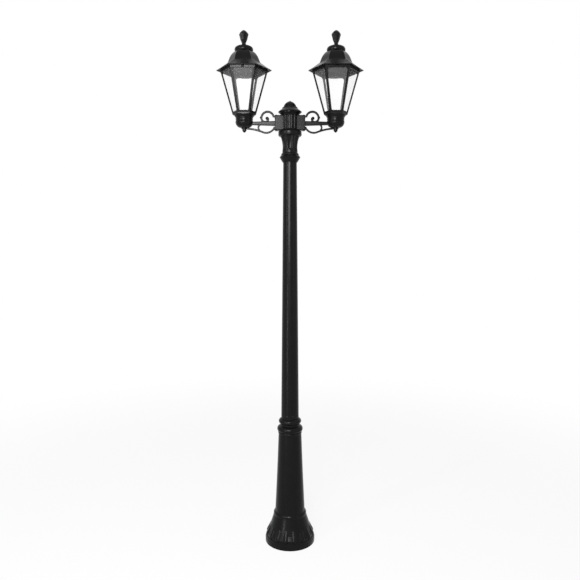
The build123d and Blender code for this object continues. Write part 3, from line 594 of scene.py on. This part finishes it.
FLUTE_FOOT = 62 * MM   # above the capital's lowest edge
start = bpy.data.meshes.new("capital_profile")
start.from_pydata([(x * MM, 0, capital_low.z + z * MM) for x, z in profile], [], [])
bell = grow(bell_tree, {"Flute Foot": capital_low.z + FLUTE_FOOT, "Finish": resin}, start)
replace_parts(settle("fluted_capital", [bell], "root", "black_resin"), "capital")

# %% [markdown]
# ## The lampholder's thread
# A screw-cap lampholder has a rolled round thread in its shell, here six and a half turns. A
# spiral curve with the same radius all the way is the thread's path, and a small circle is its
# section.

# %% The thread in each lampholder
THREAD_PITCH = 3.63 * MM
THREAD_TURNS = 6.5
THREAD_DEPTH = 26 * MM   # from the holder's rim down to where the thread starts
thread_tree, given = new_tree("round_thread", {
    "Turns": THREAD_TURNS, "Radius": 13.5 * MM, "Rise": THREAD_TURNS * THREAD_PITCH,
    "Wire": 0.6 * MM})
path = add(thread_tree, "GeometryNodeCurveSpiral", {"Resolution": 40},
           {"Rotations": given["Turns"], "Start Radius": given["Radius"],
            "End Radius": given["Radius"], "Height": given["Rise"]})
section = add(thread_tree, "GeometryNodeCurvePrimitiveCircle", {"Resolution": 8},
              {"Radius": given["Wire"]})
thread = add(thread_tree, "GeometryNodeCurveToMesh", {"Fill Caps": True},
             {"Curve": path.outputs["Curve"], "Profile Curve": section.outputs["Curve"]})
end_tree(thread_tree, thread.outputs["Mesh"], given["Finish"])

for side in ("left", "right"):
    low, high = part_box(f"lampholder_{side}")
    turns = grow(thread_tree, {"Finish": finishes["white_insulator"]})
    turns.transform(Matrix.Translation(((low.x + high.x) / 2, (low.y + high.y) / 2,
                                        high.z - THREAD_DEPTH)))
    settle(f"lampholder_thread_{side}", [turns], f"lantern_{side}", "white_insulator")

# %% [markdown]
# ## Floor, light and camera
# A plain pale floor keeps the soft shadow, and shows as white to the camera, to gloss and
# through the panes. Five soft lamps and a white world give the calm light of a studio. The large
# main lamp stands in front and a little to the left, and a tall narrow one farther left, which
# puts the highlight left of the middle of the post. Two small ones pick out the foot and the hub,
# and a weak one on the right opens the shadows.

# %% Floor


def white_to_the_eye(tree):
    """A factor that is 1 for camera, glossy and transmission rays, and 0 for the rest."""
    rays = add(tree, "ShaderNodeLightPath").outputs
    seen = add(tree, "ShaderNodeMath", {"operation": "MAXIMUM"},
               {0: rays["Is Camera Ray"], 1: rays["Is Transmission Ray"]}).outputs[0]
    return add(tree, "ShaderNodeMath", {"operation": "MAXIMUM"},
               {0: seen, 1: rays["Is Glossy Ray"]}).outputs[0]


GROUND = 60.0               # metres from the post to the floor's edge
WHITE_NEAR = 0.88           # the rest of the floor's tone is lit, and carries the shadow
SHADOW_REACH = (1.2, 3.5)   # metres from the post where the shadow's share fades out
bpy.ops.mesh.primitive_plane_add(size=2 * GROUND, location=(0, 0, 0))
floor = bpy.context.object
floor.name = "floor"
floor_paint, tree = new_material("pale_floor")
lit = add(tree, "ShaderNodeBsdfDiffuse", {"Color": colour("f7f7f7")})
white = add(tree, "ShaderNodeEmission", {"Color": (1, 1, 1, 1), "Strength": 1.0})
place = add(tree, "ShaderNodeTexCoord")
away = add(tree, "ShaderNodeVectorMath", {"operation": "LENGTH"},
           {"Vector": place.outputs["Object"]})
share = add(tree, "ShaderNodeMapRange",
            {"interpolation_type": "SMOOTHSTEP", "From Min": SHADOW_REACH[0],
             "From Max": SHADOW_REACH[1], "To Min": WHITE_NEAR, "To Max": 1.0},
            {"Value": away.outputs["Value"]})
factor = add(tree, "ShaderNodeMath", {"operation": "MULTIPLY"},
             {0: white_to_the_eye(tree), 1: share.outputs["Result"]})
both = add(tree, "ShaderNodeMixShader", (),
           {0: factor.outputs["Value"], 1: lit.outputs["BSDF"], 2: white.outputs["Emission"]})
add(tree, "ShaderNodeOutputMaterial", (), {"Surface": both.outputs["Shader"]})
floor.data.materials.append(floor_paint)
print("floor is", 2 * GROUND, "m wide")

# %% World
WORLD_LIGHT = 0.30   # what the white world gives to the surfaces themselves
world = bpy.data.worlds.new("studio")
bpy.context.scene.world = world
world.use_nodes = True
tree = world.node_tree
tree.nodes.clear()
lit = add(tree, "ShaderNodeBackground", {"Color": (1, 1, 1, 1), "Strength": WORLD_LIGHT})
white = add(tree, "ShaderNodeBackground", {"Color": (1, 1, 1, 1), "Strength": 1.0})
both = add(tree, "ShaderNodeMixShader", (),
           {0: white_to_the_eye(tree), 1: lit.outputs["Background"],
            2: white.outputs["Background"]})
add(tree, "ShaderNodeOutputWorld", (), {"Surface": both.outputs["Shader"]})
print("world made")

# %% Lamps


def soft_lamp(name, place, aim, size, watts):
    """A rectangular area lamp that looks at a point; sizes in metres."""
    data = bpy.data.lights.new(name, "AREA")
    data.shape = "RECTANGLE"
    data.size, data.size_y = size
    data.energy = watts
    lamp = bpy.data.objects.new(name, data)
    bpy.context.scene.collection.objects.link(lamp)
    lamp.visible_camera = False
    lamp.location = place
    lamp.rotation_euler = (Vector(aim) - Vector(place)).to_track_quat("-Z", "Y").to_euler()


# name, place, aim, width and height, watts
soft_lamp("key", (-0.7, -2.95, 2.0), (0, 0, 1.75), (1.3, 1.15), 100)
soft_lamp("side_key", (-2.3, -2.0, 2.2), (0, 0, 1.7), (0.25, 1.4), 25)
soft_lamp("foot_key", (-1.7, -2.3, 0.6), (0, 0, 0.4), (0.2, 1.0), 12)
soft_lamp("hub_key", (-0.35, -2.2, 2.27), (0, 0, 1.88), (0.12, 0.3), 14)
soft_lamp("fill", (2.8, -1.6, 1.8), (0, 0, 1.2), (1.0, 2.4), 6)

# %% [markdown]
# The camera stands about 2.6 m in front of the post and 1.4 m up, and looks down a little, so
# that the whole post fits in a square view.

# %% Camera
EYE = Vector((0.0, -2.634, 1.385))
PITCH = math.radians(4.95)
lens = bpy.data.cameras.new("eye")
lens.sensor_width = 36.0    # millimetres, as is the focal length
lens.lens = 36.74
camera = bpy.data.objects.new("eye", lens)
bpy.context.scene.collection.objects.link(camera)
camera.location = EYE
camera.rotation_euler = (math.pi / 2 - PITCH, 0, 0)
bpy.context.scene.camera = camera
bpy.context.scene.view_settings.view_transform = "Standard"
print("camera at", [round(v, 3) for v in EYE])
